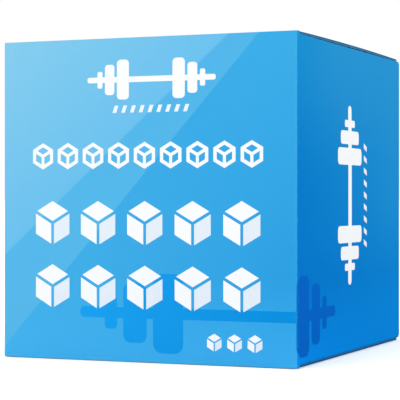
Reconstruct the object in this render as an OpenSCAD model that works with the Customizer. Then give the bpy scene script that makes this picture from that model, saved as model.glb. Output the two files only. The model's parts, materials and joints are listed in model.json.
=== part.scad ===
// Pressed gymnastics chalk block in its straight tuck end carton.
// Millimetres. +Z up, front face towards -Y, origin at the centre of the base.

/* [Carton] */
// Outside width of the carton, left to right
carton_w = 51.5; // [48:0.5:60]
// Outside depth of the carton, front to rear
carton_d = 57; // [54:0.5:66]
// Outside height of the carton at its creases
carton_h = 52; // [49:0.5:60]
// Thickness of the carton board
board_t = 0.4; // [0.35:0.05:0.5]
// Outside radius of the folded vertical corners
corner_r = 0.6; // [0.55:0.05:0.9]

/* [Flaps] */
// Length of the tuck flap below the crease of its lid
tuck_len = 12; // [10:0.5:13]
// Radius of the tuck flap's two free corners
tuck_corner_r = 6; // [3:0.5:8]
// Length of a dust flap, from its crease to its free edge
dust_len = 20; // [14:0.5:22]
// Rise of the top lid between its two creases
lid_crown = 0.2; // [0:0.1:0.8]

/* [Chalk block] */
// Width of the chalk block
block_w = 49.2; // [46:0.1:49.2]
// Depth of the chalk block
block_d = 52.9; // [48:0.1:52.9]
// Height of the chalk block
block_h = 49; // [45:0.1:49]
// Width of the broken edges of the block
block_edge = 0.8; // [0.4:0.1:2]
// Thickness of the shrink film round the block
film_t = 0.05; // [0.05:0.01:0.08]

/* [Hidden] */

print_blue = "deepskyblue";
side_blue = "dodgerblue";
board_white = "whitesmoke";

half_t = board_t / 2;
knuckle_gap = 0.03;     // between a rounded crease and the plate that turns on it
crease_fn = 48;         // sides of a small round
corner_fn = 64;
bow_steps = 16;         // straight steps along a bowed board

// Planes of the four walls
wall_x = carton_w / 2 - half_t;
wall_y = carton_d / 2 - half_t;
inner_x = carton_w / 2 - board_t;
rim_drop = 0.1;         // the front wall's cut edges lie this far inside the lids

// Crease heights: the lids lie outermost and the dust flaps just inside them
lid_z = carton_h - half_t;
dust_gap = 0.06;
dust_z = carton_h - board_t - dust_gap - half_t;
side_low = carton_h - dust_z;

// The lid, measured forwards from its crease on the rear wall
lid_reach = 55.75;
lid_half_w = carton_w / 2 - 0.6;
slit_len = 6;           // lock slit cut in from each side along the tuck crease
slit_drop = 0.35;       // the flap's shoulders start this far below the crease
shoulder_reach = 0.15;  // the lid reaches this far past the crease beside a slit
tuck_curl = 0.012;      // inward bow of the tuck flap, per millimetre squared
tuck_half_w = inner_x - 0.6;

// Dust flap outline, measured forwards from the rear crease
dust_rear = 1.2;
dust_rear_slope = 0.68;
dust_front = 55.2;
dust_notch = 2.5;
dust_notch_len = 3.5;
dust_front_slope = 0.27;

// Glue seam at the rear left corner
glue_t = 0.05;
tab_len = 12;
tab_taper = 3;
tab_margin = 3;

// Place of the block inside the carton
block_x = 0.25;
block_front = -25.3;
film_gap = 0.02;
block_low = side_low + half_t + knuckle_gap + film_gap + film_t;
vent_r = 1;

// Turns a top closure into the bottom one
module flip_to_bottom() {
    translate([0, 0, carton_h]) mirror([0, 0, 1]) children();
}

// A plate seen edge on along X, rounded over a crease at its z_low and z_high
module creased_profile(z_low, z_high) {
    translate([-half_t, z_low]) square([board_t, z_high - z_low]);
    for (z = [z_low, z_high]) translate([0, z]) circle(r = half_t, $fn = crease_fn);
}

// A quarter of a folded corner, its centre of fold at the origin
module corner_fold() {
    intersection() {
        difference() {
            circle(r = corner_r, $fn = corner_fn);
            circle(r = corner_r - board_t, $fn = corner_fn);
        }
        translate([0, -corner_r]) square(corner_r);
    }
}

// ---------- walls ----------

module front_wall() {
    flat = carton_w / 2 - corner_r;
    color(print_blue) translate([0, 0, rim_drop]) linear_extrude(carton_h - 2 * rim_drop) {
        translate([-flat, -carton_d / 2]) square([2 * flat, board_t]);
        for (side = [-1, 1])
            mirror([side < 0 ? 1 : 0, 0]) translate([flat, corner_r - carton_d / 2]) corner_fold();
    }
}

module side_plate(y_low, y_high) {
    translate([0, y_high, 0]) rotate([90, 0, 0]) linear_extrude(y_high - y_low)
        creased_profile(side_low, dust_z);
}

module right_wall() {
    color(side_blue) translate([wall_x, 0, 0])
        side_plate(corner_r - carton_d / 2, carton_d / 2 - corner_r);
}

// The left wall runs past the corner: its rear edge is the cut edge of the glue seam
module left_wall() {
    color(side_blue) translate([-wall_x, 0, 0])
        side_plate(corner_r - carton_d / 2, carton_d / 2);
}

module rear_wall() {
    right = carton_w / 2 - corner_r;
    left = corner_r - inner_x + glue_t;
    low = side_low + half_t;
    color(print_blue) {
        translate([left, wall_y, 0]) rotate([90, 0, 90]) linear_extrude(right - left)
            creased_profile(half_t, lid_z);
        translate([0, 0, low]) linear_extrude(carton_h - 2 * low) {
            translate([right, carton_d / 2 - corner_r]) mirror([0, 1]) corner_fold();
            translate([left, carton_d / 2 - corner_r]) mirror([1, 0]) mirror([0, 1]) corner_fold();
        }
    }
}

// Plate seen from the side, with both ends cut back at a slant
module tab_outline(inset) {
    low = tab_margin + inset;
    high = carton_h - tab_margin - inset;
    polygon([[0, low], [tab_len - inset, low + tab_taper],
             [tab_len - inset, high - tab_taper], [0, high]]);
}

module tab_plate(x_face, thickness, inset) {
    translate([x_face, carton_d / 2 - corner_r, 0]) rotate([90, 0, -90])
        mirror([0, 0, 1]) linear_extrude(thickness) tab_outline(inset);
}

module glue_tab() {
    color(board_white) tab_plate(-inner_x + glue_t, board_t, 0);
}

module seam_glue() {
    color("ivory") tab_plate(-inner_x, glue_t, 1);
}

// ---------- closures, drawn as the top one ----------

function crown(u) = 4 * lid_crown * u * (lid_reach - u) / (lid_reach * lid_reach);
function curl(s) = tuck_curl * s * s;
function steps(low, high) = [for (i = [0:bow_steps]) low + (high - low) * i / bow_steps];

// Lid seen edge on: u runs forwards from the rear crease
module lid_profile(rise) {
    low = half_t + knuckle_gap;
    us = steps(low, lid_reach - low);
    polygon(concat([for (u = us) [u, rise * crown(u) - half_t]],
                   [for (i = [bow_steps:-1:0]) [us[i], rise * crown(us[i]) + half_t]]));
}

// Carries a profile drawn as (forwards, up) to the lid's rear crease
module at_rear_crease(half_width) {
    translate([half_width, wall_y, lid_z]) rotate([90, 0, -90])
        linear_extrude(2 * half_width) children();
}

// The lid's own edge beside each lock slit reaches a little past the tuck crease
module lid(rise) {
    crease_half = tuck_half_w - slit_len;
    shoulder_w = lid_half_w - crease_half - knuckle_gap;
    color(print_blue) {
        at_rear_crease(lid_half_w) lid_profile(rise);
        for (x = [-lid_half_w, lid_half_w - shoulder_w])
            translate([x, wall_y - lid_reach - shoulder_reach, lid_z - half_t])
                cube([shoulder_w, shoulder_reach + board_t, board_t]);
    }
}

// Tuck flap seen edge on, its crease at the origin and its body hanging down
module tuck_profile(top) {
    ss = steps(top, tuck_len);
    polygon(concat([for (s = ss) [half_t - curl(s), -s]],
                   [for (i = [bow_steps:-1:0]) [-half_t - curl(ss[i]), -ss[i]]]));
}

// Tuck flap seen from the front, with two rounded free corners
module tuck_outline() {
    corner_x = tuck_half_w - tuck_corner_r;
    translate([-tuck_half_w, tuck_corner_r - tuck_len])
        square([2 * tuck_half_w, tuck_len - tuck_corner_r + 1]);
    translate([-corner_x, -tuck_len]) square([2 * corner_x, tuck_corner_r + 1]);
    for (x = [-corner_x, corner_x])
        translate([x, tuck_corner_r - tuck_len]) circle(r = tuck_corner_r, $fn = corner_fn);
}

module tuck_flap() {
    crease_half = tuck_half_w - slit_len;
    color(board_white) translate([0, wall_y - lid_reach, lid_z]) {
        intersection() {
            translate([tuck_half_w + 1, 0, 0]) rotate([90, 0, -90])
                linear_extrude(2 * tuck_half_w + 2) tuck_profile(slit_drop);
            translate([0, 5, 0]) rotate([90, 0, 0]) linear_extrude(10) tuck_outline();
        }
        translate([crease_half, 0, 0]) rotate([90, 0, -90]) linear_extrude(2 * crease_half) {
            circle(r = half_t, $fn = crease_fn);
            translate([-half_t, -slit_drop - 0.1]) square([board_t, slit_drop + 0.1]);
        }
    }
}

// Dust flap as cut: u runs inwards from its crease, v forwards from the rear crease
module dust_outline() {
    root = half_t + knuckle_gap;
    polygon([
        [root, dust_rear],
        [dust_len, dust_rear + dust_rear_slope * dust_len],
        [dust_len, dust_front - dust_notch - dust_front_slope * (dust_len - dust_notch_len)],
        [dust_notch_len + 1, dust_front - dust_notch],
        [dust_notch_len, dust_front],
        [root, dust_front]
    ]);
}

module right_dust_flap() {
    color(board_white) translate([wall_x, wall_y, dust_z - half_t]) rotate([0, 0, 180])
        linear_extrude(board_t) dust_outline();
}

module left_dust_flap() {
    mirror([1, 0, 0]) right_dust_flap();
}

// ---------- contents ----------

// A box with all twelve edges cut at 45 degrees
module broken_edge_box(size, cut) {
    intersection() {
        linear_extrude(size.z, center = true) cut_square(size.x, size.y, cut);
        rotate([90, 0, 0]) linear_extrude(size.y, center = true) cut_square(size.x, size.z, cut);
        rotate([90, 0, 90]) linear_extrude(size.x, center = true) cut_square(size.y, size.z, cut);
    }
}

module cut_square(a, b, cut) {
    x = a / 2;
    y = b / 2;
    polygon([[cut - x, -y], [x - cut, -y], [x, cut - y], [x, y - cut],
             [x - cut, y], [cut - x, y], [-x, y - cut], [-x, cut - y]]);
}

module at_block_centre() {
    translate([block_x, block_front + block_d / 2, block_low + block_h / 2]) children();
}

function grown(gap) = [block_w, block_d, block_h] + 2 * gap * [1, 1, 1];

module chalk_block() {
    color("white") at_block_centre() broken_edge_box(grown(0), block_edge);
}

// Closed film skin with one vent hole in its rear face
module shrink_film() {
    color("lightcyan") at_block_centre() difference() {
        broken_edge_box(grown(film_gap + film_t), block_edge);
        broken_edge_box(grown(film_gap), block_edge);
        translate([0, block_d / 2 + 0.5, 0]) rotate([90, 0, 0])
            cylinder(r = vent_r, h = 1, center = true, $fn = crease_fn);
    }
}

front_wall();
right_wall();
rear_wall();
left_wall();
glue_tab();
seam_glue();
lid(1);  // top_lid
tuck_flap();  // top_tuck_flap
left_dust_flap();  // top_left_dust_flap
right_dust_flap();  // top_right_dust_flap
flip_to_bottom() lid(0);  // bottom_lid
flip_to_bottom() tuck_flap();  // bottom_tuck_flap
flip_to_bottom() left_dust_flap();  // bottom_left_dust_flap
flip_to_bottom() right_dust_flap();  // bottom_right_dust_flap
chalk_block();
shrink_film();
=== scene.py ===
"""Looks of a gymnastics chalk block in its printed folding carton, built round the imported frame.

Lengths are millimetres until a mesh is made. A wall, lid or flap is drawn flat, as (a, b) on its printed
side, and a surface function carries it to its place. The print is part of the board: its outlines are cut
into the mesh, and the faces inside them carry the amount of ink.
"""

import json
import math

import bpy
import bmesh
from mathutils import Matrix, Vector, geometry, noise


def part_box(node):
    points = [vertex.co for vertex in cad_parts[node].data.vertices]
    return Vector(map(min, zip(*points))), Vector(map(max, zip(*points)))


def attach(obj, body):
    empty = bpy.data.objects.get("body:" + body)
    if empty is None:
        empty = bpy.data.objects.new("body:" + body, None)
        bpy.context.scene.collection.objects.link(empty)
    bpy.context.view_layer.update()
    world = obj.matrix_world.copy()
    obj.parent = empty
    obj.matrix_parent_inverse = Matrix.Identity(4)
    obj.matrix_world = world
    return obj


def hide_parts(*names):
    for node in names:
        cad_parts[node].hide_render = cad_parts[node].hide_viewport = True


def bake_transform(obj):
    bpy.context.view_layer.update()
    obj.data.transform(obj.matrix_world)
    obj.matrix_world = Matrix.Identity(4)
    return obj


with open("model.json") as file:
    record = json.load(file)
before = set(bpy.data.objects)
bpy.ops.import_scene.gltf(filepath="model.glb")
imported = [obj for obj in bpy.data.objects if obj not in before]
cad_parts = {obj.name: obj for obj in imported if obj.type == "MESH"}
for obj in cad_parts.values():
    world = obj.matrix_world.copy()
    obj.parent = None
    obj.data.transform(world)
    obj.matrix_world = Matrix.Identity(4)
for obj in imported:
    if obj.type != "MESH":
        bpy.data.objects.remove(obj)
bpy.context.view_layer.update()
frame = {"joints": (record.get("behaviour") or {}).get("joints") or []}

MM = 0.001

# ---------- sizes, read from the frame ----------


def box_mm(node):
    low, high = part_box(node)
    return low / MM, high / MM


joint_at = {j["name"]: Vector(j["pos_m"]) / MM for j in frame["joints"]}

front_low, front_high = box_mm("front_wall")
half_w = front_high.x
half_d = -front_low.y
rim = front_low.z  # height of the front wall's lower edge
corner_r = front_high.y - front_low.y  # outer radius of the folded corners
height = box_mm("rear_wall")[1].z
board_t = box_mm("bottom_lid")[1].z - box_mm("bottom_lid")[0].z
half_t = board_t / 2
glue_t = box_mm("seam_glue")[1].x - box_mm("seam_glue")[0].x

lid_y = joint_at["top_lid_crease"].y
lid_z = joint_at["top_lid_crease"].z
tuck_y = joint_at["top_tuck_crease"].y
lid_len = lid_y - tuck_y
lid_half = box_mm("top_lid")[1].x
lid_crown = box_mm("top_lid")[1].z - lid_z - half_t
shoulder_y = box_mm("top_lid")[0].y  # front edge of the lid beside its tuck crease
tuck_half = box_mm("top_tuck_flap")[1].x
tuck_len = lid_z - box_mm("top_tuck_flap")[0].z

wall_x = joint_at["top_right_dust_crease"].x
dust_z = joint_at["top_right_dust_crease"].z
side_low = height - dust_z  # height of the bottom dust creases
dust_low, dust_high = box_mm("top_right_dust_flap")
dust_len = wall_x - dust_low.x
dust_rear_y = dust_high.y
dust_front_y = dust_low.y

# ---------- sizes that only the looks need ----------

CHAMFER = 0.04          # rounding of a knife cut edge
SEAM = 0.3              # a wall with folded corners runs this far past them
REACH = 0.75            # a crease strip covers the board this far from the fold line
BEND = 0.5              # the board bends within this distance of the fold line
FOLD_R = 0.23           # radius of the fold, at the middle of the board
FOLD_STEPS = 8          # mesh steps round a fold
CORNER_STEPS = 8        # and round a folded corner of the walls
GRID = 2.5              # spacing of the mesh across a flat board
GRID_CLEAR = 0.75       # points of that mesh stay this far inside the outline
JOIN_WITHIN = 1e-4      # outlines' points closer than this become one
SHARP_ANGLE = 35        # shading breaks where two faces meet at more than this, in degrees

FRONT_BOW = 0.1         # how far the middle of each wall bulges
REAR_BOW = 0.06
RIGHT_BOW = 0.09
LEFT_BOW = 0.07

SLIT_LEN = 6.0          # lock slits at both ends of a tuck crease
SLIT_DROP = 0.35        # their width
TUCK_CORNER = 6.0       # radius of a tuck flap's corners
TUCK_CURL = 0.012       # curl of a flap: this times the square of the distance from its crease
DUST_CURL = 0.0006
DUST_REAR_SLOPE = 0.68  # how much a dust flap narrows for each millimetre inwards, at its rear edge
DUST_FRONT_SLOPE = 0.27
DUST_NOTCH = 2.5        # a step in its front edge, this wide
DUST_NOTCH_LEN = 3.5    # and this far from the crease
TAB_LEN = 12.0          # the glue tab, its gap to each end of the carton, and its taper
TAB_MARGIN = 3.0
TAB_TAPER = 3.0
GLUE_INSET = 1          # the glue stops this far inside the tab's edges

BLOCK_PITCH = 0.8       # spacing of the mesh of the block and of its film
BLOCK_ROUND = 0.9       # rounding of their edges
WORN_WIDTH = 2.2        # the block's edges are worn this far in
GATHER_WIDTH = 12.0     # the film gathers this far in from its edges
FILM_T = 0.05
LAP_MIDDLE = 4.0        # the lap seam along the film's top face
LAP_WIDTH = 5.0
LAP_SLOPE = 0.3         # width of the step at each side of it
VENT_R = 1.0            # the vent hole in the film's rear face

flat_half = half_w - corner_r           # half width of the flat of the front wall
fold_mid_r = corner_r - half_t
fold_len = fold_mid_r * math.pi / 2     # length of the board round a folded corner
wall_end = flat_half + fold_len + SEAM  # half length of the front wall, unrolled
tab_fold_x = half_w - board_t - glue_t  # outer face of the fold inside the glue seam
tab_flat = tab_fold_x - corner_r
side_end = half_d - corner_r - SEAM     # half length of a side wall
crease_half = tuck_half - SLIT_LEN      # half length of a tuck crease
side_top = dust_z + half_t / 2          # upper edge of a side wall beside its dust crease
corner_top = dust_z - half_t            # upper edge of the rear wall's folded corners
strip_left = -tab_flat                  # left end of the lids' creases
# From the middle of the front wall to the middle of a side wall, unrolled.
corner_to_wall = flat_half + fold_len + half_d - corner_r

# ---------- print, light and view ----------

PRINTED, INSIDE, EDGE = 0, 1, 2     # material slots of every board piece
NO_INK, SMEARED_AND_SHADED = (0.0, 0.0), (0.0, 1.0)
# The rows of faces down a cut edge from the printed side: their slot and ink. The edge's colour is painted
# shade, darkest on the row of smeared ink.
EDGE_ROWS = ((PRINTED, NO_INK), (EDGE, SMEARED_AND_SHADED), (EDGE, NO_INK), (EDGE, NO_INK))

WHITE_INK = "#FCFEFF"
BARE_FLAP = "#EFF1F0"
SHADED_WHITE = 0.82     # amount of white on the shaded face of a cube, and on small marks
SMALL_WHITE = 0.9
BLEED = 3.0             # how far the print runs on past a crease
BLEED_SOFT = 0.1        # softness of its end
BAND_SOFT = 0.3         # softness of the edges of the front's pale bands, a painted reflection
RUB_WIDTH = 0.4         # how far from a folded corner's middle its print is rubbed
RUBBED = 0.1            # how strongly
PRINT_SPECULAR = 0.001  # the print is nearly matt

WHITE_LIGHT = 1.41      # how bright a perfectly white, matt wall comes out under these lights
SURROUND = 0.94         # the world's strength for most light
GLOSS_SURROUND = 0.04   # and as a glossy surface sees it
FLOOR_HALF = 60.0       # half the floor's width, in metres
FLOOR_DROP = 0.00002    # the floor lies this far below the carton, in metres
FLOOR_GLOW = 0.12       # its own light, which keeps the shadow pale

LENS = 144.8                        # focal length, for Blender's 36 mm wide sensor
VIEW_TURN = math.radians(22.86)     # the camera stands this far round to the right
VIEW_DISTANCE = 5.43 * height
AIM_RIGHT = -0.0442 * height        # the aim passes this far from the carton's middle
AIM_UP = -0.0016 * height


def near(value, wanted):
    return abs(value - wanted) < 1e-3


def new_mesh(name, verts, faces, materials):
    """A mesh in metres, from points in millimetres."""
    mesh = bpy.data.meshes.new(name)
    mesh.from_pydata([v * MM for v in verts], [], faces)
    for material in materials:
        mesh.materials.append(material)
    return mesh


def put_in_scene(name, data):
    made = bpy.data.objects.new(name, data)
    bpy.context.scene.collection.objects.link(made)
    return made


# ---------- flat shapes ----------

def rectangle(x0, y0, x1, y1):
    return [(x0, y0), (x1, y0), (x1, y1), (x0, y1)]


def arc(cx, cy, radius, start, end, steps=8):
    angles = [math.radians(start + (end - start) * i / steps) for i in range(steps + 1)]
    return [(cx + radius * math.cos(t), cy + radius * math.sin(t)) for t in angles]


def rounded_rectangle(x0, y0, x1, y1, r):
    quarters = ((x1 - r, y0 + r, -90), (x1 - r, y1 - r, 0), (x0 + r, y1 - r, 90), (x0 + r, y0 + r, 180))
    return [point for cx, cy, start in quarters for point in arc(cx, cy, r, start, start + 90, 4)]


def moved(points, dx, dy):
    return [(x + dx, y + dy) for x, y in points]


def turned(points):
    """A quarter turn anticlockwise."""
    return [(-y, x) for x, y in points]


def drawn_in(points, cx, cy, share):
    """The points at this share of their distance from (cx, cy)."""
    return [(cx + (x - cx) * share, cy + (y - cy) * share) for x, y in points]


def inside(x, y, polygon):
    found = False
    for (x0, y0), (x1, y1) in zip(polygon, polygon[1:] + polygon[:1]):
        if (y0 > y) != (y1 > y) and x < x0 + (y - y0) * (x1 - x0) / (y1 - y0):
            found = not found
    return found


def edge_distance(x, y, polygon):
    point = Vector((x, y))
    distances = []
    for p, q in zip(polygon, polygon[1:] + polygon[:1]):
        share = geometry.intersect_point_line(point, Vector(p), Vector(q))[1]
        nearest = Vector(p).lerp(Vector(q), min(1, max(0, share)))
        distances.append((nearest - point).length)
    return min(distances)


# ---------- the print: each shape is (outline, white, deep), later shapes lie over earlier ones ----------

def cube_faces(cx, cy, tall, gap):
    """A cube seen corner on: the hexagon round it, and its three faces, drawn in to stand a gap apart."""
    r = tall / 2
    corners = [(cx + r * math.cos(math.radians(t)), cy + r * math.sin(math.radians(t)))
               for t in range(-30, 330, 60)]
    low_right, high_right, top, high_left, low_left, bottom = corners
    faces = [[top, high_left, (cx, cy), high_right],
             [high_left, low_left, bottom, (cx, cy)],
             [(cx, cy), bottom, low_right, high_right]]
    share = 1 - (gap / 2) / (r * math.sqrt(3) / 4)
    return corners, [drawn_in(face, sum(p[0] for p in face) / 4, sum(p[1] for p in face) / 4, share)
                     for face in faces]


def row_middles(count, first, last, tall):
    """The middles of a row of cubes of this height that reaches from first to last."""
    half = tall * math.sqrt(3) / 4
    return [first + half + (last - first - 2 * half) * i / (count - 1) for i in range(count)]


def solid_cubes(count, first, last, middle, tall, gap):
    shapes = []
    for cx in row_middles(count, first, last, tall):
        top, left, right = cube_faces(cx, middle, tall, gap)[1]
        shapes += [(top, 1.0, 0), (left, 1.0, 0), (right, SHADED_WHITE, 0)]
    return shapes


def outline_cubes(count, first, last, middle, tall, stroke):
    shapes = []
    share = 1 - stroke / (tall * math.sqrt(3) / 2)
    for cx in row_middles(count, first, last, tall):
        corners, faces = cube_faces(cx, middle, tall, stroke)
        shapes.append((corners, 1.0, 0))
        shapes += [(drawn_in(face, cx, middle, share), 0, 0) for face in faces]
    return shapes


def barbell(length, tall):
    """Outlines of a bar with two plates and a collar on each end, centred on the origin."""
    bar = 0.14 * tall
    parts = [rounded_rectangle(-0.5 * length, -bar / 2, 0.5 * length, bar / 2, bar * 0.4)]
    # Each plate's two sides as shares of the length, and its height as a share of the tallest.
    for low, high, share in ((0.17, 0.265, 1.0), (0.285, 0.36, 0.76), (0.38, 0.42, 0.42)):
        radius = min(0.3 * (high - low) * length, 0.12 * tall)
        plate = rounded_rectangle(low * length, -share * tall / 2, high * length, share * tall / 2, radius)
        parts += [plate, [(-x, y) for x, y in reversed(plate)]]
    return parts


def dashes(length, tall, count=9):
    """A row of short slanted strokes, centred on the origin."""
    pitch = length / count
    wide = 0.42 * pitch
    lean = 0.35 * tall
    corners = ((-1, -1), (1, -1), (1, 1), (-1, 1))
    return [[(x + side * wide / 2 + end * lean / 2, end * tall / 2) for side, end in corners]
            for x in (pitch * (i + 0.5) - length / 2 for i in range(count))]


def inked(outlines, dx, dy, white, deep=0.0):
    return [(moved(o, dx, dy), white, deep) for o in outlines]


def emblem(cx, cy, length, tall):
    """A barbell, with a row of dashes under it in place of a caption."""
    caption = dashes(0.62 * length, 0.18 * tall)
    return (inked(barbell(length, tall), cx, cy, 1.0)
            + inked(caption, cx, cy - 0.5 * tall - 0.24 * tall, SMALL_WHITE))


def upright_emblem(cx, cy, length, tall):
    """The same, turned to run up a side wall."""
    bars = [turned(o) for o in barbell(length, tall)]
    caption = [turned(o) for o in dashes(0.62 * length, 0.13 * tall)]
    return inked(bars, cx, cy, 1.0) + inked(caption, cx + 0.5 * tall + 0.17 * tall, cy, SMALL_WHITE)


def side_emblem():
    return upright_emblem(-2.3, 26.7, 30.0, 13.0)


def watermark(shift):
    """The large tone on tone barbell that runs round the front right corner."""
    return inked(barbell(55.0, 12.6), 16.0 - shift, 7.9, 0, 1.0)


def front_art():
    return (watermark(0)
            + emblem(1.0, 45.2, 22.4, 6.4)
            + outline_cubes(9, -20.2, 20.1, 33.05, 4.3, 0.62)
            + solid_cubes(5, -19.9, 19.9, 22.2, 7.7, 0.5)
            + solid_cubes(5, -19.9, 19.9, 11.9, 7.7, 0.5)
            + solid_cubes(3, 10.6, 20.1, 3.6, 3.1, 0.24))


def right_art():
    return watermark(corner_to_wall) + side_emblem()


def rear_art():
    """An emblem, bars in place of small print, a blank field and three cubes."""
    bars = [rounded_rectangle(-19.0, z, 19.0 - short, z + 0.9, 0.3)
            for z, short in ((30.0, 0), (27.4, 2), (24.8, 5), (22.2, 1), (19.6, 3), (17.0, 16))]
    blank = rounded_rectangle(2.5, 4.2, 19.0, 13.2, 0.8)
    return (emblem(0, 43.5, 22.4, 6.4) + inked(bars, 0, 0, SMALL_WHITE) + [(blank, 1.0, 0)]
            + solid_cubes(3, -19.0, -8.0, 8.7, 3.6, 0.26))


def top_art():
    return emblem(0, -0.5, 30.0, 8.6) + solid_cubes(5, -12.0, 12.0, -14.5, 4.0, 0.3)


def bottom_art():
    return [(rounded_rectangle(-11.0, -6.0, 11.0, 6.0, 0.8), 1.0, 0)]


# ---------- surfaces: (a, b) on the flat board to a place and the printed side's direction ----------

def bow(a, b, half_a, rise):
    """How far a wall bulges, nothing at its edges."""
    along = 1 - (a / half_a) ** 2
    up = 1 - (2 * b / height - 1) ** 2
    return rise * max(0, along) ** 2 * max(0, up) ** 2


def folded_wall(a, b, low, high, rise):
    """A wall facing -Y, flat from low to high, that folds back round a corner at each end."""
    if low <= a <= high:
        swell = bow(a - (low + high) / 2, b, (high - low) / 2, rise)
        return Vector((a, half_t - half_d - swell, b)), Vector((0, -1, 0))
    side, over, edge = (1, a - high, high) if a > high else (-1, low - a, low)
    turn = min(over / fold_mid_r, math.pi / 2)
    out = Vector((side * math.sin(turn), -math.cos(turn), 0))
    place = Vector((edge, corner_r - half_d + max(0, over - fold_len), b)) + out * fold_mid_r
    return place, out


def front_surface(a, b):
    return folded_wall(a, b, -flat_half, flat_half, FRONT_BOW)


def rear_surface(a, b):
    place, out = folded_wall(a, b, -flat_half, tab_flat, REAR_BOW)
    return Vector((-place.x, -place.y, place.z)), -out


def right_surface(a, b):
    return Vector((wall_x + bow(a, b, half_d, RIGHT_BOW), a, b)), Vector((1, 0, 0))


def left_surface(a, b):
    return Vector((-wall_x - bow(a, b, half_d, LEFT_BOW), -a, b)), Vector((-1, 0, 0))


def tab_surface(a, b):
    return Vector((half_t - tab_fold_x, a, b)), Vector((-1, 0, 0))


def glue_surface(a, b):
    return Vector((board_t - half_w + glue_t / 2, a, b)), Vector((-1, 0, 0))


def crown_rise(q, crown):
    """Height of a bowed lid at a distance q from either of its creases."""
    return 4 * crown * q * (lid_len - q) / lid_len ** 2


def lid_surface(crown):
    def placed(a, b):
        q = lid_y - b
        slope = 4 * crown * (lid_len - 2 * q) / lid_len ** 2
        return Vector((a, b, lid_z + max(0, crown_rise(q, crown)))), Vector((0, slope, 1)).normalized()
    return placed


def tuck_surface(a, b):
    curl = TUCK_CURL * b * b
    return Vector((a, tuck_y + curl, lid_z + b)), Vector((0, -1, 2 * TUCK_CURL * b)).normalized()


def dust_surface(a, b):
    drop = DUST_CURL * b * b
    return Vector((wall_x - b, a, dust_z - drop)), Vector((-2 * DUST_CURL * b, 0, 1)).normalized()


def upside_down(surface):
    """The same board at the other end of the carton."""
    def placed(a, b):
        place, out = surface(a, b)
        return Vector((place.x, place.y, height - place.z)), Vector((out.x, out.y, -out.z))
    return placed


def mirrored(surface):
    """The same board on the left of the carton."""
    def placed(a, b):
        place, out = surface(a, b)
        return Vector((-place.x, place.y, place.z)), Vector((-out.x, out.y, out.z))
    return placed


# ---------- board meshes ----------

def board_mesh(name, verts, uvs, faces, materials):
    """A closed mesh. The flat board's coordinates become its UV map. Each face is its points, its material
    slot and its white and deep ink."""
    loops, slots, inks = zip(*faces)
    mesh = new_mesh(name, verts, loops, materials)
    mesh.polygons.foreach_set("material_index", slots)
    for key, values in zip(("white_ink", "deep_ink"), zip(*inks)):
        mesh.attributes.new(key, "FLOAT", "FACE").data.foreach_set("value", values)
    layer = mesh.uv_layers.new(name="print")
    layer.data.foreach_set("uv", [c for loop in loops for v in loop for c in uvs[v]])
    work = bmesh.new()
    work.from_mesh(mesh)
    bmesh.ops.recalc_face_normals(work, faces=work.faces)
    work.to_mesh(mesh)
    work.free()
    mesh.shade_smooth()
    mesh.set_sharp_from_angle(angle=math.radians(SHARP_ANGLE))
    return put_in_scene(name, mesh)


def split_long(outline):
    """The outline with points added, so that no edge is longer than the mesh's spacing."""
    points = []
    for (x0, y0), (x1, y1) in zip(outline, outline[1:] + outline[:1]):
        count = max(1, math.ceil(math.hypot(x1 - x0, y1 - y0) / GRID))
        points += [(x0 + (x1 - x0) * i / count, y0 + (y1 - y0) * i / count) for i in range(count)]
    return points


def cut_flat(outline, art, folds):
    """Triangles inside the outline, with every outline of the art and every fold line as edges."""
    points, edges = [], []

    def add_loop(loop):
        first = len(points)
        points.extend(Vector(p) for p in loop)
        edges.extend((first + i, first + (i + 1) % len(loop)) for i in range(len(loop)))

    add_loop(split_long(outline))
    for shape, _, _ in art:
        add_loop(shape)
    (left, right), (low, high) = [(min(line), max(line)) for line in zip(*outline)]
    for a in folds:
        points.extend((Vector((a, low)), Vector((a, high))))
        edges.append((len(points) - 2, len(points) - 1))
    for i in range(int((right - left) / GRID) + 1):
        for j in range(int((high - low) / GRID) + 1):
            x = left + (i + 0.5) * GRID
            y = low + (j + 0.5) * GRID
            if inside(x, y, outline) and edge_distance(x, y, outline) > GRID_CLEAR:
                points.append(Vector((x, y)))
    found = geometry.delaunay_2d_cdt(points, edges, [], 0, JOIN_WITHIN)
    coords = [tuple(v) for v in found[0]]
    triangles = []
    for tri in found[2]:
        x = sum(coords[v][0] for v in tri) / 3
        y = sum(coords[v][1] for v in tri) / 3
        if inside(x, y, outline):
            triangles.append((tuple(tri), x, y))
    return coords, triangles


def ink_at(x, y, art):
    """The white and the deep ink there, each from the last shape of its kind that covers the place."""
    white = deep = 0.0
    for shape, shape_white, shape_deep in art:
        if inside(x, y, shape):
            if shape_deep:
                deep = shape_deep
            else:
                white = shape_white
    return white, deep


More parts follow.
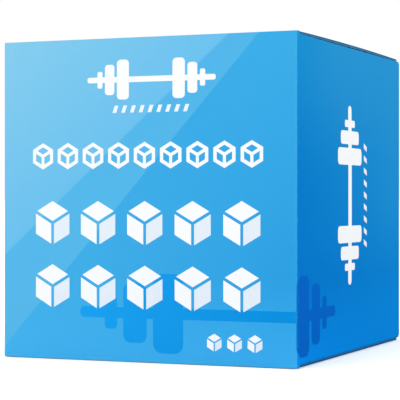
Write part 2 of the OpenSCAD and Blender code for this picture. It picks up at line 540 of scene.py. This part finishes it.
def board_piece(name, outline, surface, materials, art=(), joined=lambda a, b: False, folds=(),
                thick=board_t):
    """A piece of board cut to the outline. joined says where its edge runs on into the next piece."""
    coords, triangles = cut_flat(outline, art, folds)
    directed = dict.fromkeys((tri[i], tri[(i + 1) % 3]) for tri, _, _ in triangles for i in range(3))
    border = [(i, j) for i, j in directed if (j, i) not in directed]
    outward = {}
    for i, j in border:
        (x0, y0), (x1, y1) = coords[i], coords[j]
        size = math.hypot(x1 - x0, y1 - y0)
        if not joined((x0 + x1) / 2, (y0 + y1) / 2):
            for v in (i, j):
                outward.setdefault(v, []).append(Vector(((y1 - y0) / size, (x0 - x1) / size)))
    verts, uvs, rings = [], [], {}
    half = thick / 2
    chamfer = min(CHAMFER, thick / 4)

    def add(v, inset, depth):
        normals = outward.get(v, [])
        push = sum(normals, Vector((0, 0)))
        if len(normals) == 2:
            push /= 1 + normals[0].dot(normals[1])
        a = coords[v][0] - push.x * inset
        b = coords[v][1] - push.y * inset
        place, out = surface(a, b)
        verts.append(place + out * depth)
        uvs.append((a, b))
        return len(verts) - 1

    on_border = {v for edge in border for v in edge}
    for v in sorted({v for tri, _, _ in triangles for v in tri}):
        inset = chamfer if v in on_border else 0
        side_depths = (half - chamfer, 0, chamfer - half) if v in on_border else ()
        rings[v] = [add(v, inset, half)] + [add(v, 0, d) for d in side_depths] + [add(v, inset, -half)]
    faces = []
    for tri, x, y in triangles:
        faces.append(([rings[v][0] for v in tri], PRINTED, ink_at(x, y, art)))
        faces.append(([rings[v][-1] for v in reversed(tri)], INSIDE, NO_INK))
    for i, j in border:
        for k, (slot, ink) in enumerate(EDGE_ROWS):
            faces.append(([rings[j][k], rings[i][k], rings[i][k + 1], rings[j][k + 1]], slot, ink))
    return board_mesh(name, verts, uvs, faces, materials)


def crease_path():
    """The middle of a folded board, as rows: the distances along the parent and along the child, the turn
    so far, and the distance past the fold line on the flat board."""
    flat = [REACH] + [BEND + (FOLD_R - BEND) * i / 3 for i in range(3)]
    path = [(p, 0, 0.0, -p) for p in flat]
    for i in range(FOLD_STEPS + 1):
        turn = math.pi / 2 * i / FOLD_STEPS
        path.append((FOLD_R * (1 - math.sin(turn)), FOLD_R * (1 - math.cos(turn)), turn,
                     FOLD_R * (2 * i / FOLD_STEPS - 1)))
    return path + [(0, c, math.pi / 2, c) for c in reversed(flat)]


def crease_strip(name, at, parent_way, child_way, low, high, materials, flat_b, bulge):
    """The bent board on a fold line, from low to high along it. flat_b gives the print's b from the
    distance past the fold line, and bulge the boards' bow."""
    along = Vector([abs(x) for x in parent_way.cross(child_way)])
    path = crease_path()
    columns = max(1, round((high - low) / GRID))
    verts, uvs = [], []
    for depth in (half_t, -half_t):
        for p, c, turn, past in path:
            out = -(parent_way * math.sin(turn) + child_way * math.cos(turn))
            place = at + parent_way * p + child_way * c + bulge(p, c) + out * depth
            for k in range(columns + 1):
                side = low + (high - low) * k / columns
                verts.append(place + along * side)
                uvs.append((side, flat_b(past)))
    last = len(path) - 1
    row = columns + 1
    layer = len(path) * row
    faces = []
    for i in range(last):
        for k in range(columns):
            v = i * row + k
            w = v + layer
            faces.append(([v, v + 1, v + 1 + row, v + row], PRINTED, NO_INK))
            faces.append(([w + row, w + 1 + row, w + 1, w], INSIDE, NO_INK))
        for k in (0, columns):
            v = i * row + k
            faces.append(([v, v + row, v + row + layer, v + layer], EDGE, NO_INK))
    for i in (0, last):
        for k in range(columns):
            v = i * row + k
            faces.append(([v, v + 1, v + 1 + layer, v + layer], EDGE, NO_INK))
    return board_mesh(name, verts, uvs, faces, materials)


# ---------- materials ----------

def linear(code):
    """The base colour of a surface that is seen as #RRGGBB under the lights."""
    parts = [int(code[i:i + 2], 16) / 255 for i in (1, 3, 5)]
    parts = [c / 12.92 if c <= 0.04045 else ((c + 0.055) / 1.055) ** 2.4 for c in parts]
    return tuple(min(1.0, c / WHITE_LIGHT) for c in parts) + (1.0,)


class Look:
    """A material and a short way to write its nodes. Settings go on the shader's own sockets."""

    def __init__(self, name, **settings):
        self.material = bpy.data.materials.new(name)
        self.material.use_nodes = True
        self.tree = self.material.node_tree
        self.shader = self.tree.nodes["Principled BSDF"]
        for key, value in settings.items():
            self.shader.inputs[key.replace("_", " ").title().replace("Ior", "IOR")].default_value = value

    def put(self, socket, value):
        if isinstance(value, bpy.types.NodeSocket):
            self.tree.links.new(value, socket)
        else:
            socket.default_value = value

    def add(self, kind, inputs=(), **settings):
        node = self.tree.nodes.new("ShaderNode" + kind)
        for key, value in settings.items():
            setattr(node, key, value)
        for key, value in dict(inputs).items():
            self.put(node.inputs[key], value)
        return node

    def math(self, operation, *values):
        node = self.add("Math", operation=operation)
        for socket, value in zip(node.inputs, values):
            self.put(socket, value)
        return node.outputs[0]

    def mix(self, share, first, second, blend="MIX"):
        """Each colour is a socket or a #RRGGBB code."""
        node = self.add("Mix", data_type="RGBA", blend_type=blend)
        colours = [linear(c) if isinstance(c, str) else c for c in (first, second)]
        for index, value in zip((0, 6, 7), [share] + colours):
            self.put(node.inputs[index], value)
        return node.outputs[2]

    def ramp(self, value, low, high, to_low=0.0, to_high=1.0, kind="LINEAR"):
        node = self.add("MapRange", {"Value": value, "From Min": low, "From Max": high,
                                     "To Min": to_low, "To Max": to_high}, interpolation_type=kind)
        return node.outputs[0]

    def fade(self, value, low, high, first, second):
        """A colour that runs from first, where the value is low, to second, where it is high."""
        return self.mix(self.ramp(value, low, high), first, second)

    def flat(self):
        """The board's own flat coordinates, in millimetres: the vector, a and b."""
        place = self.add("UVMap", uv_map="print").outputs[0]
        parts = self.add("SeparateXYZ", {0: place}).outputs
        return place, parts[0], parts[1]

    def solid(self):
        """The place inside a solid piece, in metres."""
        return self.add("TexCoord").outputs["Object"]

    def noise(self, place, scale, detail=2.0, roughness=0.5):
        inputs = {"Vector": place, "Scale": scale, "Detail": detail, "Roughness": roughness}
        return self.add("TexNoise", inputs).outputs[0]

    def stretched(self, place, x, y, z=1.0):
        return self.add("VectorMath", {0: place, 1: (x, y, z)}, operation="MULTIPLY").outputs[0]

    def set(self, name, value):
        self.put(self.shader.inputs[name], value)

    def bump(self, height_map, distance, strength):
        node = self.add("Bump", {"Height": height_map, "Distance": distance, "Strength": strength})
        self.set("Normal", node.outputs[0])

    def face_value(self, name):
        return self.add("Attribute", attribute_name=name).outputs["Fac"]

    def beyond(self, a, b, first, second):
        """1 on the left of the line from first to second, 0 on its right, with a slightly soft edge."""
        dx, dy = second[0] - first[0], second[1] - first[1]
        size = math.hypot(dx, dy)
        across = self.math("MULTIPLY_ADD", a, -dy / size, (first[0] * dy - first[1] * dx) / size)
        across = self.math("MULTIPLY_ADD", b, dx / size, across)
        return self.ramp(across, -BAND_SOFT / 2, BAND_SOFT / 2, kind="SMOOTHSTEP")


# Colours of the print, with painted shade darkening the side walls and a painted reflection on the front.
# Numbers beside a or b are places on the flat board. On a wall, b is the height.

def front_field(look, a, b):
    """Sky blue, lighter to the left, with two pale bands towards the top left corner that are a painted
    reflection of studio light.
    """
    lower = look.fade(a, -25, 25, "#46B6F1", "#3CAFF0")
    right = look.fade(b, 14, 52, "#2EA1E3", "#3CADE7")
    middle = look.fade(a, -12, 24, "#42AFE7", right)
    main = look.fade(b, 0, 14, lower, middle)
    # The two pale bands below are a painted reflection, mixed into the print's colour.
    painted_reflection_band = look.fade(b, 10, 50, "#58B9EA", "#53B6EA")
    corner = look.math("ADD", look.math("MULTIPLY", a, -0.66), look.math("MULTIPLY", b, 0.75))
    pale = look.fade(corner, 29, 56, "#6CC1EE", "#86CDEE")
    main = look.mix(look.beyond(a, b, (-25.0, 2.4), (18.8, 51.2)), main, painted_reflection_band)
    return look.mix(look.beyond(a, b, (-25.6, 16.8), (13.8, 51.4)), main, pale)


def side_painted_shade_colour(look, a, b):
    """A deeper blue, lightest along the top: the print's blue darkened as painted shade for the side walls.
    """
    middle = look.fade(a, -28, 28, "#027ECE", "#1C91D5")
    low = look.fade(a, -28, 28, "#0279D0", "#0885D4")
    top = look.fade(a, -28, -8, "#1892D5", "#2897D6")
    foot = look.fade(a, -24, 28, "#0491EF", "#048CE3")
    lower = look.fade(b, 0, 13, foot, low)
    lower = look.fade(b, 13, 26, lower, middle)
    return look.mix(look.ramp(b, 26, 52, kind="SMOOTHSTEP"), lower, top)


def rear_field(look, a, b):
    return look.fade(b, 0, 52, "#2DA0E2", "#30A2E4")


def lid_colour(look, a, b):
    return look.fade(b, -28, 28, "#3FAEE7", "#30A2E4")


def front_deep(look, a, b):
    return look.fade(a, -12, 25, "#1CA4F1", "#0B91DF")


# The watermark's deep ink on the side walls, darkened as painted shade like their blue.
def side_deep_painted_shade(look, a, b):
    return "#0466C8"


def round_fold(field, side):
    """A wall with folded corners: the side walls' colour, darkened as painted shade, begins half way round
    each fold.
    """
    def shade(look, a, b):
        over = look.math("GREATER_THAN", look.math("ABSOLUTE", a), flat_half + fold_len / 2)
        on_side = look.math("MULTIPLY_ADD", look.math("SIGN", a), -corner_to_wall, a)
        return look.mix(over, field(look, a, b), side(look, on_side, b))
    return shade


def bled(colour, level):
    """The colour of a flap: its neighbour's at the crease, bleeding a little way in, then bare white."""
    def shade(look, a, b):
        past = look.ramp(look.math("ABSOLUTE", b), BLEED - BLEED_SOFT, BLEED + BLEED_SOFT)
        return look.mix(past, colour(look, a, level), BARE_FLAP)
    return shade


def fold_wear(look, a, place, fold_lines):
    """Where the print has rubbed light, along the folds at these values of a."""
    wear = None
    for line in fold_lines:
        off = look.math("ABSOLUTE", look.math("SUBTRACT", a, line))
        close = look.ramp(off, 0.0, RUB_WIDTH, 1.0, 0.0, "SMOOTHSTEP")
        wear = close if wear is None else look.math("MAXIMUM", wear, close)
    flecks = look.ramp(look.noise(look.stretched(place, 5.0, 1.6), 1.0, 5.0, 0.75), 0.5, 0.66)
    return look.math("MULTIPLY", wear, flecks)


def print_look(name, colour, deep=side_deep_painted_shade, fold_lines=()):
    """Matt varnished ink on white board."""
    look = Look(name, specular_ior_level=PRINT_SPECULAR)
    place, a, b = look.flat()
    ink = look.mix(look.face_value("deep_ink"), colour(look, a, b), deep(look, a, b))
    mottle = look.noise(place, 0.35, 3.0, 0.6)
    ink = look.mix(look.ramp(mottle, 0.3, 0.7, 0.0, 0.05), ink, "#FFFFFF", "SOFT_LIGHT")
    if fold_lines:
        worn = look.math("MULTIPLY", fold_wear(look, a, place, fold_lines), RUBBED)
        ink = look.mix(worn, ink, "#BFDDEE")
    look.set("Base Color", look.mix(look.face_value("white_ink"), ink, WHITE_INK))
    gloss = look.noise(place, 1.2, 4.0, 0.6)
    look.set("Roughness", look.ramp(gloss, 0.3, 0.7, 0.30, 0.42))
    fibres = look.noise(look.stretched(place, 2.2, 6.0), 1.0, 3.0, 0.6)
    look.bump(fibres, 0.00001, 0.35)
    return look.material


def inside_look():
    """The uncoated back of the board: grey white, with fibres lying along the grain."""
    look = Look("board_back", specular_ior_level=0.2, roughness=0.9)
    place = look.flat()[0]
    fibres = look.noise(look.stretched(place, 1.2, 9.0), 1.0, 5.0, 0.7)
    clouds = look.noise(place, 0.12, 3.0, 0.6)
    specks = look.noise(place, 3.4, 1.0)
    tone = look.fade(clouds, 0.3, 0.7, "#E4E2DC", "#EFEEEA")
    tone = look.mix(look.ramp(fibres, 0.55, 0.8, 0.0, 0.35), tone, "#CFCAC0")
    tone = look.mix(look.ramp(specks, 0.74, 0.8, 0.0, 0.5), tone, "#A79F92")
    look.set("Base Color", tone)
    look.bump(fibres, 0.00003, 0.6)
    return look.material


def edge_look():
    """The knife cut edge: grey blue plies, coloured far darker than the bare board as painted shade. Its
    faces with deep ink are the outer ones, smeared dark with ink and painted shade.
    """
    look = Look("board_edge", specular_ior_level=0.2, roughness=0.85)
    place = look.flat()[0]
    plies = look.noise(look.stretched(place, 5.0, 5.0), 1.0, 4.0, 0.7)
    # Both ply tones are dark as painted shade; the outer pair also stands for ink smeared on the cut.
    inner = look.fade(plies, 0.35, 0.65, "#2A7AAB", "#429ACB")
    outer = look.fade(plies, 0.35, 0.65, "#083F61", "#185F89")
    look.set("Base Color", look.mix(look.face_value("deep_ink"), inner, outer))
    look.bump(plies, 0.00003, 0.6)
    return look.material


def glue_look():
    """A thin line of dried white glue."""
    look = Look("dry_glue", roughness=0.35, specular_ior_level=0.4)
    place = look.flat()[0]
    ripples = look.noise(place, 0.8, 3.0)
    look.set("Base Color", look.fade(ripples, 0.3, 0.7, "#D9D2BC", "#EEE9DA"))
    look.bump(ripples, 0.00004, 0.7)
    return look.material


def chalk_look():
    """Pressed magnesium carbonate: dead matt white, slightly grey in its hollows as painted shade."""
    look = Look("pressed_chalk", specular_ior_level=0.05, roughness=1.0)
    place = look.solid()
    powder = look.noise(place, 900.0, 6.0, 0.7)
    clouds = look.noise(place, 90.0, 4.0, 0.6)
    pits = look.add("TexVoronoi", {"Vector": place, "Scale": 420.0}, feature="F1").outputs[0]
    pit_depth_and_shade = look.ramp(pits, 0.0, 0.22, 1.0, 0.0, "SMOOTHSTEP")
    tone = look.fade(clouds, 0.3, 0.7, "#EEEEEB", "#E0E2E1")
    # The grey mixed into the pits is painted shade; the same pits are also sunk by the bump below.
    look.set("Base Color", look.mix(look.math("MULTIPLY", pit_depth_and_shade, 0.4), tone, "#B4B8BA"))
    look.bump(look.math("SUBTRACT", powder, look.math("MULTIPLY", pit_depth_and_shade, 0.7)), 0.00025, 0.7)
    return look.material


def film_look():
    """Clear shrink film, clouded where powder clings to it."""
    look = Look("shrink_film", roughness=0.07, specular_ior_level=0.8)
    place = look.solid()
    powder = look.noise(place, 70.0, 6.0, 0.7)
    streaks = look.noise(look.stretched(place, 1.0, 0.25), 340.0, 3.0, 0.6)
    cloud = look.math("MULTIPLY", look.ramp(powder, 0.42, 0.72), look.ramp(streaks, 0.3, 0.7, 0.5, 1.0))
    look.set("Alpha", look.ramp(cloud, 0.0, 1.0, 0.09, 0.36))
    look.set("Base Color", linear("#E9EEF1"))
    crinkle = look.noise(look.stretched(place, 1.0, 2.2), 420.0, 3.0, 0.5)
    look.bump(crinkle, 0.00012, 0.6)
    return look.material


board_back = inside_look()
board_edge = edge_look()
glue = glue_look()
corner_folds = (-flat_half - fold_len / 2, flat_half + fold_len / 2)
# Half way round their folded corners, the front and rear prints turn to the side walls' painted shade.
front_print = print_look("front_print", round_fold(front_field, side_painted_shade_colour),
                         round_fold(front_deep, side_deep_painted_shade), corner_folds)
# The side walls' print is the blue darkened as painted shade.
side_print_painted_shade = print_look("side_print_painted_shade", side_painted_shade_colour)
rear_print = print_look("rear_print", round_fold(rear_field, side_painted_shade_colour), fold_lines=corner_folds)
lid_print = print_look("lid_print", lid_colour)
tuck_print = print_look("tuck_print", bled(lid_colour, tuck_y))
# The dust flaps take the side walls' painted-shade blue where it bleeds past their creases.
dust_prints = {"top": print_look("top_dust_print", bled(side_painted_shade_colour, dust_z)),
               "bottom": print_look("bottom_dust_print", bled(side_painted_shade_colour, side_low))}


# ---------- the board pieces ----------

def layers(print_material):
    """The materials of a piece of board, in the order of their slots."""
    return [print_material, board_back, board_edge]


def stands_for(node, piece, body="sleeve"):
    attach(piece, body)
    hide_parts(node)


def fold_rows(edge):
    """The lines along a folded corner that starts at a = edge, where its mesh bends."""
    return [edge + fold_len * i / CORNER_STEPS for i in range(CORNER_STEPS + 1)]


def front_wall():
    outline = rectangle(-wall_end, rim, wall_end, height - rim)
    folds = fold_rows(flat_half) + [-a for a in fold_rows(flat_half)]
    piece = board_piece("front_panel", outline, front_surface, layers(front_print), front_art(),
                        lambda a, b: near(abs(a), wall_end), folds)
    stands_for("front_wall", piece)


def stepped(ends, steps, low, crease_low, crease_high, high):
    """A wall between these two values of a, cut back to its creases between the two steps."""
    (first, last), (left, right) = sorted(ends), sorted(steps)
    return [(first, low), (left, low), (left, crease_low), (right, crease_low), (right, low),
            (last, low), (last, high), (right, high), (right, crease_high), (left, crease_high),
            (left, high), (first, high)]


def side_outline(ends, steps):
    return stepped(ends, steps, height - side_top, side_low + REACH, dust_z - REACH, side_top)


def on_dust_crease(a, b):
    """Along a dust crease's strip and beside its ends."""
    ends = (dust_rear_y, dust_front_y, -dust_rear_y, -dust_front_y)
    return any(near(a, end) for end in ends) or near(b, side_low + REACH) or near(b, dust_z - REACH)


def right_wall():
    outline = side_outline((-side_end, side_end), (dust_front_y, dust_rear_y))
    piece = board_piece("right_panel", outline, right_surface, layers(side_print_painted_shade), right_art(),
                        lambda a, b: near(abs(a), side_end) or on_dust_crease(a, b))
    stands_for("right_wall", piece)


def left_wall():
    """Its rear edge is the raw edge of the glue seam."""
    outline = side_outline((-half_d, side_end), (-dust_rear_y, -dust_front_y))
    piece = board_piece("left_panel", outline, left_surface, layers(side_print_painted_shade), side_emblem(),
                        lambda a, b: near(a, side_end) or on_dust_crease(a, b))
    stands_for("left_wall", piece)


def rear_wall():
    ends = (-wall_end, tab_flat + fold_len + SEAM)
    steps = (-flat_half, tab_flat)
    creases = (height - lid_z + REACH, lid_z - REACH)
    outline = stepped(ends, steps, height - corner_top, *creases, corner_top)
    folds = fold_rows(tab_flat) + [-a for a in fold_rows(flat_half)]

    def joined(a, b):
        return any(near(a, x) for x in ends + steps) or any(near(b, z) for z in creases)

    piece = board_piece("rear_panel", outline, rear_surface, layers(rear_print), rear_art(), joined, folds)
    stands_for("rear_wall", piece)


def tab_outline(start, inset):
    low, high = TAB_MARGIN + inset, height - TAB_MARGIN - inset
    tip = half_d - corner_r - TAB_LEN + inset
    return [(start, low), (start, high), (tip, high - TAB_TAPER), (tip, low + TAB_TAPER)]


def glue_seam():
    """The tab inside the rear left corner, and the glue between it and the left wall."""
    start = half_d - corner_r - SEAM
    piece = board_piece("glue_tab_board", tab_outline(start, 0), tab_surface,
                        [board_back, board_back, board_edge], joined=lambda a, b: near(a, start))
    stands_for("glue_tab", piece)
    piece = board_piece("glue_line", tab_outline(start, GLUE_INSET), glue_surface, [glue, glue, glue],
                        thick=glue_t)
    stands_for("seam_glue", piece)


def lid_outline():
    rear, front = lid_y - REACH, tuck_y + REACH
    return [(-lid_half, rear), (-lid_half, shoulder_y), (-crease_half, shoulder_y), (-crease_half, front),
            (crease_half, front), (crease_half, shoulder_y), (lid_half, shoulder_y), (lid_half, rear)]


def tuck_outline():
    """b is 0 on the crease and runs down the flap as negative values."""
    corner_x = tuck_half - TUCK_CORNER
    corner_b = TUCK_CORNER - tuck_len
    return ([(-crease_half, -REACH), (-crease_half, -SLIT_DROP), (-tuck_half, -SLIT_DROP)]
            + arc(-corner_x, corner_b, TUCK_CORNER, 180, 270)
            + arc(corner_x, corner_b, TUCK_CORNER, 270, 360)
            + [(tuck_half, -SLIT_DROP), (crease_half, -SLIT_DROP), (crease_half, -REACH)])


def dust_outline():
    """a is the place from front to rear, and b runs inwards from the crease."""
    reach_in = dust_len - DUST_NOTCH_LEN
    notch_y = dust_front_y + DUST_NOTCH
    return [(dust_rear_y, REACH), (dust_rear_y - DUST_REAR_SLOPE * (dust_len - REACH), dust_len),
            (notch_y + DUST_FRONT_SLOPE * reach_in, dust_len), (notch_y, DUST_NOTCH_LEN + 1),
            (dust_front_y, DUST_NOTCH_LEN), (dust_front_y, REACH)]


def fold(name, at, parent_way, child_way, low, high, print_material, flat_b, bulge):
    piece = crease_strip(name, at, parent_way, child_way, low, high, layers(print_material), flat_b, bulge)
    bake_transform(piece)


def flap(name, body, outline, surface, print_material, art, joined):
    """A moving panel. Its body has the name of the CAD node that it replaces."""
    stands_for(body, board_piece(name, outline, surface, layers(print_material), art, joined), body)


def closure(end, crown, art):
    """A lid, its tuck flap and the two dust flaps under it, with the folds that join them to the walls."""
    top = end == "top"
    up = Vector((0, 0, 1 if top else -1))
    forward, rearward = Vector((0, -1, 0)), Vector((0, 1, 0))

    def turned_over(surface):
        return surface if top else upside_down(surface)

    def level(z):
        return z if top else height - z

    lid, tuck = end + "_lid", end + "_tuck_flap"
    flap(lid + "_panel", lid, lid_outline(), turned_over(lid_surface(crown)), lid_print, art,
         lambda a, b: near(b, lid_y - REACH) and a > strip_left or near(b, tuck_y + REACH)
         or near(abs(a), crease_half))
    fold(lid + "_fold", Vector((0, lid_y, level(lid_z))), -up, forward, strip_left, lid_half,
         lid_print, lambda past: lid_y - past, lambda p, c: up * crown_rise(c, crown))
    flap(tuck + "_panel", tuck, tuck_outline(), turned_over(tuck_surface), tuck_print, (),
         lambda a, b: near(b, -REACH) or near(abs(a), crease_half))
    fold(tuck + "_fold", Vector((0, tuck_y, level(lid_z))), rearward, -up,
         -crease_half, crease_half, lid_print, lambda past: tuck_y - past,
         lambda p, c: up * crown_rise(p, crown) + rearward * TUCK_CURL * c * c)
    for side, way in (("right", 1), ("left", -1)):
        dust = f"{end}_{side}_dust_flap"
        surface = dust_surface if way > 0 else mirrored(dust_surface)
        flap(dust + "_panel", dust, dust_outline(), turned_over(surface), dust_prints[end], (),
             lambda a, b: near(b, REACH))
        # The dust creases' folds carry the side walls' print, with its painted shade.
        fold(dust + "_fold", Vector((way * wall_x, 0, level(dust_z))), -up,
             Vector((-way, 0, 0)), dust_front_y, dust_rear_y, side_print_painted_shade, lambda past: level(dust_z),
             lambda p, c: -up * DUST_CURL * c * c)


# ---------- the block and its film ----------

def box_points(centre, half):
    """A rounded box as an even grid: its points, the way out at each, and its faces."""
    verts, outs, faces, index = [], [], [], {}
    counts = [max(2, round(2 * h / BLOCK_PITCH)) for h in half]

    def at(key):
        if key not in index:
            flat = Vector([-h + 2 * h * c / n for h, c, n in zip(half, key, counts)])
            core = Vector([max(BLOCK_ROUND - h, min(h - BLOCK_ROUND, x)) for h, x in zip(half, flat)])
            out = (flat - core).normalized()
            index[key] = len(verts)
            verts.append(centre + core + out * BLOCK_ROUND)
            outs.append(out)
        return index[key]

    for axis in range(3):
        u, v = (axis + 1) % 3, (axis + 2) % 3
        for end in (0, counts[axis]):
            for i in range(counts[u]):
                for j in range(counts[v]):
                    corners = []
                    for di, dj in ((0, 0), (1, 0), (1, 1), (0, 1)):
                        key = [0, 0, 0]
                        key[axis], key[u], key[v] = end, i + di, j + dj
                        corners.append(at(tuple(key)))
                    faces.append(corners if end else corners[::-1])
    return verts, outs, faces


def edge_share(place, centre, half, width):
    """1 on the box's edges, falling to 0 at this distance from them."""
    gaps = sorted(h - abs(x) for h, x in zip(half, place - centre))
    return max(0.0, 1 - max(0.0, gaps[1]) / width)


def plain_piece(name, verts, faces, material):
    mesh = new_mesh(name, verts, faces, [material])
    mesh.shade_smooth()
    return put_in_scene(name, mesh)


def block_box(node):
    low, high = box_mm(node)
    return (low + high) / 2, (high - low) / 2


def crumble(place, share):
    """How deep the pressed chalk has worn or chipped here. share is 1 on its edges."""
    grain = 0.03 * (noise.noise(place * 1.1) + 1) + 0.015 * (noise.noise(place * 2.3) + 1)
    pits = min(0.5, max(0.0, noise.noise(place * 0.5 + Vector((7, 3, 1))) - 0.38) * 2.5)
    broken = noise.fractal(place * 0.23 + Vector((2, 9, 4)), 0.9, 2.2, 4)
    chips = share ** 2 * max(0.0, broken + 0.12) * 1.5
    return grain + pits + chips


def chalk_block():
    centre, half = block_box("chalk_block")
    verts, outs, faces = box_points(centre, half)
    worn = [v - out * crumble(v, edge_share(v, centre, half, WORN_WIDTH)) for v, out in zip(verts, outs)]
    piece = plain_piece("chalk_block_body", worn, faces, chalk_look())
    stands_for("chalk_block", piece)


def thin_ridges(place):
    """0 over most of a surface, rising to 1 along thin wandering lines."""
    return max(0.0, 1 - 5 * abs(noise.noise(place)))


def pucker(place, out, centre, half):
    """How far the film stands off the block: least at the front, most where it gathers at its edges."""
    share = edge_share(place, centre, half, GATHER_WIDTH)
    gathers = thin_ridges(Vector((place.x * 0.42, place.y * 0.42, place.z * 0.42 + 5)))
    creases = thin_ridges(Vector((place.x * 0.13 + 9, place.y * 0.2, place.z * 0.13)))
    sag = 0.04 * (noise.noise(place * 0.12) + 1)
    room = 0.3 if out.y < -0.5 else 1.0
    return room * (0.2 * share * gathers + 0.09 * creases + sag)


def lap_step(place, out):
    """The overlap of the film's two edges, along the top face."""
    if out.z < 0.7:
        return 0.0
    across = place.x - LAP_MIDDLE + 0.25 * noise.noise(Vector((0, place.y * 0.12, 0)))
    return FILM_T * min(1, max(0, (LAP_WIDTH / 2 - abs(across)) / LAP_SLOPE + 0.5))


def shrink_film():
    centre, half = block_box("shrink_film")
    verts, outs, faces = box_points(centre, half)
    loose = [v + out * (pucker(v, out, centre, half) + lap_step(v, out)) for v, out in zip(verts, outs)]
    vent = Vector((centre.x, centre.y + half.y, centre.z))
    kept = [f for f in faces if min((verts[v] - vent).length for v in f) > VENT_R]
    piece = plain_piece("film_skin", loose, kept, film_look())
    skin = piece.modifiers.new("thickness", "SOLIDIFY")
    skin.thickness = FILM_T * MM
    skin.offset = -1
    stands_for("shrink_film", piece)


# ---------- floor, light and camera ----------

def make_floor():
    look = Look("pale_floor", roughness=0.9, specular_ior_level=0.1, base_color=(0.9, 0.9, 0.9, 1),
                emission_color=(1, 1, 1, 1), emission_strength=FLOOR_GLOW)
    mesh = bpy.data.meshes.new("floor")
    corners = rectangle(-FLOOR_HALF, -FLOOR_HALF, FLOOR_HALF, FLOOR_HALF)
    mesh.from_pydata([(x, y, 0) for x, y in corners], [], [(0, 1, 2, 3)])
    mesh.materials.append(look.material)
    floor = put_in_scene("floor", mesh)
    floor.location.z = -FLOOR_DROP
    floor.visible_glossy = False


def make_world():
    """A white backdrop for the camera, and softer light for everything else."""
    world = bpy.data.worlds.new("studio")
    bpy.context.scene.world = world
    world.use_nodes = True
    tree = world.node_tree
    backdrop = tree.nodes["Background"]
    backdrop.inputs["Color"].default_value = (1, 1, 1, 1)
    ray = tree.nodes.new("ShaderNodeLightPath")
    softer = tree.nodes.new("ShaderNodeMix")
    softer.inputs["A"].default_value = SURROUND
    softer.inputs["B"].default_value = GLOSS_SURROUND
    strength = tree.nodes.new("ShaderNodeMix")
    strength.inputs["B"].default_value = 1.0
    tree.links.new(ray.outputs["Is Glossy Ray"], softer.inputs["Factor"])
    tree.links.new(ray.outputs["Is Camera Ray"], strength.inputs["Factor"])
    tree.links.new(softer.outputs[0], strength.inputs["A"])
    tree.links.new(strength.outputs[0], backdrop.inputs["Strength"])


def make_soft_sun(name, turn, lift, spread, strength):
    """Even soft light from far off. turn is round from the front, to the right, and lift above the floor."""
    light = bpy.data.lights.new(name, "SUN")
    light.angle = math.radians(spread)
    light.energy = strength
    put_in_scene(name, light).rotation_euler = (math.radians(90 - lift), 0, math.radians(turn))


def make_camera():
    """The photo's view: level, from the front and a little to the right."""
    lens = bpy.data.cameras.new("camera")
    lens.lens = LENS
    lens.clip_start = 0.01
    lens.clip_end = 200
    forward = Vector((-math.sin(VIEW_TURN), math.cos(VIEW_TURN), 0))
    right = Vector((math.cos(VIEW_TURN), math.sin(VIEW_TURN), 0))
    aim = Vector((0, 0, height / 2)) + right * AIM_RIGHT + Vector((0, 0, AIM_UP))
    camera = put_in_scene("camera", lens)
    camera.location = (aim - forward * VIEW_DISTANCE) * MM
    camera.rotation_euler = (math.pi / 2, 0, VIEW_TURN)
    bpy.context.scene.camera = camera


def set_colour_view():
    view = bpy.context.scene.view_settings
    view.view_transform = "Standard"
    view.look = "None"
    view.exposure = 0
    view.gamma = 1


front_wall()
right_wall()
left_wall()
rear_wall()
glue_seam()
closure("top", lid_crown, top_art())
closure("bottom", 0.0, bottom_art())
chalk_block()
shrink_film()

make_floor()
make_world()
make_soft_sun("left_light", turn=-30, lift=50, spread=70, strength=0.75)
make_soft_sun("right_light", turn=70, lift=50, spread=70, strength=0.75)
make_soft_sun("top_light", turn=0, lift=85, spread=90, strength=0.5)
make_soft_sun("rear_light", turn=205, lift=42, spread=9, strength=0.25)
make_camera()
set_colour_view()
